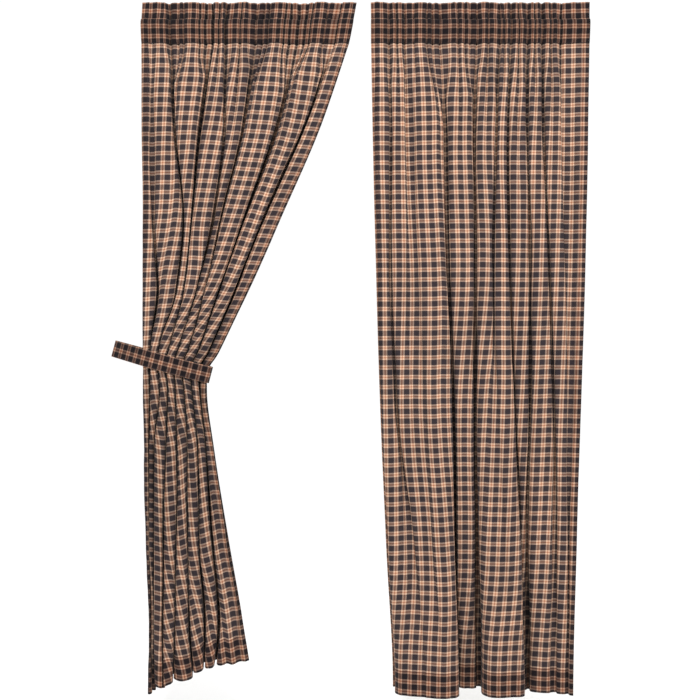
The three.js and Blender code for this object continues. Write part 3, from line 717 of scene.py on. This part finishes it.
def check_group():
    """Colour of the woven check at a place on the flat cloth, in metres, and its weave as a height."""
    graph, given, made = new_group(
        "woven check",
        [("Colour", "NodeSocketColor"), ("Height", "NodeSocketFloat")],
        [("Place", "NodeSocketVector")],
    )
    place = given.outputs["Place"]
    parts = graph.node("ShaderNodeSeparateXYZ")
    graph.give(parts.inputs[0], place)
    threads = []
    for axis, start in ((0, WARP_START), (1, WEFT_START)):
        at = graph.math("SUBTRACT", parts.outputs[axis], start)
        turn = graph.math("FRACT", graph.math("DIVIDE", at, REPEAT))
        away = graph.math("MULTIPLY", graph.away(turn, 0.5), REPEAT)
        band = graph.ramp(away, HALF_BAND - SOFT_EDGE, HALF_BAND + SOFT_EDGE, 1, 0)
        rust = graph.ramp(away, HALF_RUST - SOFT_EDGE, HALF_RUST + SOFT_EDGE, 1, 0)
        colour = graph.mix(rust, graph.mix(band, DARK_THREAD, TAN_THREAD), RUST_THREAD)
        stretched = graph.scaled(place, *(THREAD_GRAIN if axis == 0 else THREAD_GRAIN[::-1]))
        uneven = graph.ramp(graph.noise(stretched, 1.0), 0.25, 0.75, *THREAD_SHADES)
        threads.append(graph.mix(1.0, colour, uneven, "MULTIPLY"))
    waves = [
        graph.math("SINE", graph.math("MULTIPLY", parts.outputs[axis], 2 * math.pi / THREAD_PITCH))
        for axis in (0, 1)
    ]
    over = graph.math("MULTIPLY", *waves)
    root = graph.mix(graph.ramp(over, -0.5, 0.5, *WEAVE_SHARES), *threads)
    squared = graph.mix(1.0, root, root, "MULTIPLY")
    graph.give(made.inputs["Colour"], squared)
    graph.give(made.inputs["Height"], over)
    return graph.tree


def cloth_material(name, doubled, lines, shade):
    """Woven check cloth.

    doubled says where the cloth is turned up, which is painted shade there, and lines where it is sewn,
    in millimetres. Shade is painted deep in the folds, and shade says how open they are where they are
    painted darkest and where they are left bright.
    """
    material = bpy.data.materials.new(name)
    material.use_nodes = True
    tree = material.node_tree
    graph = Graph(tree)
    shader = tree.nodes["Principled BSDF"]
    place, u, v = graph.flat_cloth()
    colour, height = graph.check(place)
    # Painted shade: where the cloth is doubled its colour is painted deeper and darker.
    deeper = graph.node("ShaderNodeGamma")
    graph.give(deeper.inputs["Color"], colour)
    deeper.inputs["Gamma"].default_value = DOUBLED_SHADE_DEPTH
    darker = graph.mix(1.0, deeper.outputs["Color"], DOUBLED_SHADE, "MULTIPLY")
    colour = graph.mix(doubled(graph, u, v), colour, darker)
    tint = graph.ramp(graph.noise(graph.scaled(place, 9, 5), 3.0), 0.3, 0.7, 0.93, 1.05)
    colour = graph.mix(1.0, colour, tint, "MULTIPLY")
    sewn = 0.0
    for along, across, at in lines(u, v):
        line = graph.ramp(graph.away(across, at * MM), STITCH_CORE, STITCH_EDGE, 1, 0)
        dash = graph.math("FRACT", graph.math("DIVIDE", along, STITCH))
        stitches = graph.math("MULTIPLY", line, graph.ramp(dash, 0.12, 0.22))
        sewn = graph.math("MAXIMUM", sewn, stitches)
    colour = graph.mix(sewn, colour, SEWING_THREAD)
    height = graph.math("SUBTRACT", height, graph.math("MULTIPLY", sewn, 1.5))
    # Painted shade: the colour is darkened where folds close in front of the cloth.
    in_front, _ = graph.room()
    colour = graph.mix(1.0, colour, graph.ramp(in_front, *shade, FOLD_SHADE, 1), "MULTIPLY")
    graph.give(shader.inputs["Base Color"], colour)
    weave = graph.bump(height, 0.5, 0.00025)
    crumple = graph.bump(graph.noise(graph.scaled(place, 26, 14), 3.0, 0.55), 0.6, 0.004)
    graph.give(crumple.inputs["Normal"], weave.outputs["Normal"])
    graph.give(shader.inputs["Normal"], crumple.outputs["Normal"])
    shader.inputs["Roughness"].default_value = 0.9
    shader.inputs["Specular IOR Level"].default_value = 0.08
    shader.inputs["Sheen Weight"].default_value = 0.04
    shader.inputs["Sheen Roughness"].default_value = 0.5
    return material


def turned_edges(graph, u, v):
    """Where a panel's edges are turned in and hemmed, for painted shade: less at the sides than at the
    bottom.
    """
    side = graph.away(u, WIDTH * MM / 2)
    sides = graph.ramp(side, (WIDTH / 2 - SIDE_HEM - 2) * MM, (WIDTH / 2 - SIDE_HEM + 1) * MM, 0, 0.6)
    hem = graph.ramp(v, (SKIRT - BOTTOM_HEM - 1) * MM, (SKIRT - BOTTOM_HEM + 1) * MM, 0, 0.9)
    return graph.math("MAXIMUM", sides, hem)


# The heading and the tieback are doubled all over, so all of them get the painted shade.
def everywhere(graph, u, v):
    return 1.0


CHECK = check_group()
panel_cloth = cloth_material(
    "lined check",
    turned_edges,
    lambda u, v: [
        (u, v, SKIRT - BOTTOM_HEM + SEWN_IN),
        (v, u, SIDE_HEM - SEWN_IN),
        (v, u, WIDTH - SIDE_HEM + SEWN_IN),
    ],
    PANEL_SHADE,
)
heading_cloth = cloth_material(
    "doubled check",
    everywhere,
    lambda u, v: [(u, v, -up) for up in HEADING_SEWN],
    HEADING_SHADE,
)
tieback_cloth = cloth_material(
    "tieback check",
    everywhere,
    lambda u, v: [(u, v, TIE["check"] + side * TIE["sewn"]) for side in (-1, 1)],
    TIE_SHADE,
)


def lining_material():
    """Plain ivory lining, with the check turned over it at the sides and the hem."""
    material = bpy.data.materials.new("ivory lining")
    material.use_nodes = True
    tree = material.node_tree
    graph = Graph(tree)
    shader = tree.nodes["Principled BSDF"]
    place, u, v = graph.flat_cloth()
    colour, _ = graph.check(place)
    side = graph.away(u, WIDTH * MM / 2)
    turned = graph.math(
        "MAXIMUM",
        graph.ramp(side, (WIDTH / 2 - SIDE_HEM - 1) * MM, (WIDTH / 2 - SIDE_HEM - 0.4) * MM),
        graph.ramp(v, (SKIRT - HEM_TURN - 1) * MM, (SKIRT - HEM_TURN - 0.4) * MM),
    )
    thread = graph.noise(graph.scaled(place, 900, 60), 2.0)
    slub = graph.noise(graph.scaled(place, 60, 900), 2.0)
    plain = graph.mix(graph.math("MULTIPLY", thread, slub), LINING_PALE, LINING_DEEP)
    # Painted shade: the lining is darkened where folds close behind the cloth.
    _, behind = graph.room()
    plain = graph.mix(1.0, plain, graph.ramp(behind, *LINING_SHADE, LINING_FOLD_SHADE, 1), "MULTIPLY")
    seam = graph.away(v, (SKIRT - BOTTOM_HEM - SEAM_ABOVE_HEM) * MM)
    plain = graph.mix(graph.ramp(seam, 0.0004, 0.0009, 0.35, 0), plain, LINING_SEAM)
    graph.give(shader.inputs["Base Color"], graph.mix(turned, plain, colour))
    weave = graph.bump(graph.math("ADD", thread, graph.math("MULTIPLY", turned, 2.0)), 0.4, 0.0003)
    graph.give(shader.inputs["Normal"], weave.outputs["Normal"])
    shader.inputs["Roughness"].default_value = 0.85
    shader.inputs["Specular IOR Level"].default_value = 0.2
    shader.inputs["Sheen Weight"].default_value = 0.1
    return material


lining = lining_material()
left_levels, right_levels = levels_of(LEFT), levels_of(RIGHT)
hem_rows = round(BOTTOM_HEM / SKIRT * PANEL_ROWS)

for side, table, levels in (("left", LEFT, left_levels), ("right", RIGHT, right_levels)):
    grid, flat, painted_shade = panel_grid(table, levels)
    panel = make_sheet(
        side + "_panel_cloth",
        grid,
        flat,
        (CLOTH, HEM_CLOTH),
        [panel_cloth, lining],
        thick_rows=hem_rows,
        painted_shade=painted_shade,
    )
    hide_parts(side + "_panel")
    grid, flat, painted_shade = heading_grid(table, levels)
    thickness = (HEADING_CLOTH,)
    heading = make_sheet(side + "_heading_cloth", grid, flat, thickness, [heading_cloth], painted_shade=painted_shade)
    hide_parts(side + "_heading")

grid, flat, length = tieback_grid(left_levels)
tieback = make_sheet("tieback_cloth", grid, flat, (TIE["cloth"],), [tieback_cloth])
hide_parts("tieback")


# The studio, in metres: the lamps face the point that is lit most
FLOOR_RADIUS = 9
FLOOR_HEIGHT = -2.15
FLOOR_COLOUR = (0.97, 0.97, 0.97, 1)
LIT = (0, 0, -0.9)
ROOM_LIGHT = 1.04


def floor():
    """A wide plain pale floor just below the hems."""
    bm = bmesh.new()
    bmesh.ops.create_circle(bm, cap_ends=True, segments=96, radius=FLOOR_RADIUS)
    bmesh.ops.translate(bm, verts=bm.verts, vec=(0, 0, FLOOR_HEIGHT))
    mesh = bpy.data.meshes.new("floor")
    bm.to_mesh(mesh)
    bm.free()
    made = bpy.data.objects.new("floor", mesh)
    bpy.context.scene.collection.objects.link(made)
    paint = bpy.data.materials.new("pale floor")
    paint.use_nodes = True
    shader = paint.node_tree.nodes["Principled BSDF"]
    shader.inputs["Base Color"].default_value = FLOOR_COLOUR
    shader.inputs["Roughness"].default_value = 0.9
    mesh.materials.append(paint)


def area_light(name, place, size, power):
    """A soft square lamp."""
    data = bpy.data.lights.new(name, "AREA")
    data.size = size
    data.energy = power
    made = bpy.data.objects.new(name, data)
    made.location = place
    aim = np.array(LIT, float) - np.array(place, float)
    made.rotation_euler = (
        math.atan2(math.hypot(aim[0], aim[1]), -aim[2]), 0, math.atan2(aim[0], -aim[1]) + math.pi
    )
    bpy.context.scene.collection.objects.link(made)


floor()
area_light("key", place=(-0.2, -3.1, 1.2), size=1.2, power=120)
area_light("fill", place=(2.0, -3.0, 0.2), size=2.0, power=35)
world = bpy.data.worlds.new("pale studio")
world.use_nodes = True
world.node_tree.nodes["Background"].inputs["Color"].default_value = (1, 1, 1, 1)
world.node_tree.nodes["Background"].inputs["Strength"].default_value = ROOM_LIGHT
bpy.context.scene.world = world
bpy.context.scene.view_settings.view_transform = "Standard"

# The camera stands level before the pair, and its picture is so wide at the rod line
DISTANCE = 3.2
VIEW_WIDTH = 2.163
VIEW_MIDDLE = (-0.0448, -0.984)
camera = bpy.data.cameras.new("camera")
camera.angle = 2 * math.atan(VIEW_WIDTH / 2 / DISTANCE)
eye = bpy.data.objects.new("camera", camera)
eye.location = (VIEW_MIDDLE[0], -DISTANCE, VIEW_MIDDLE[1])
eye.rotation_euler = (math.pi / 2, 0, 0)
bpy.context.scene.collection.objects.link(eye)
bpy.context.scene.camera = eye
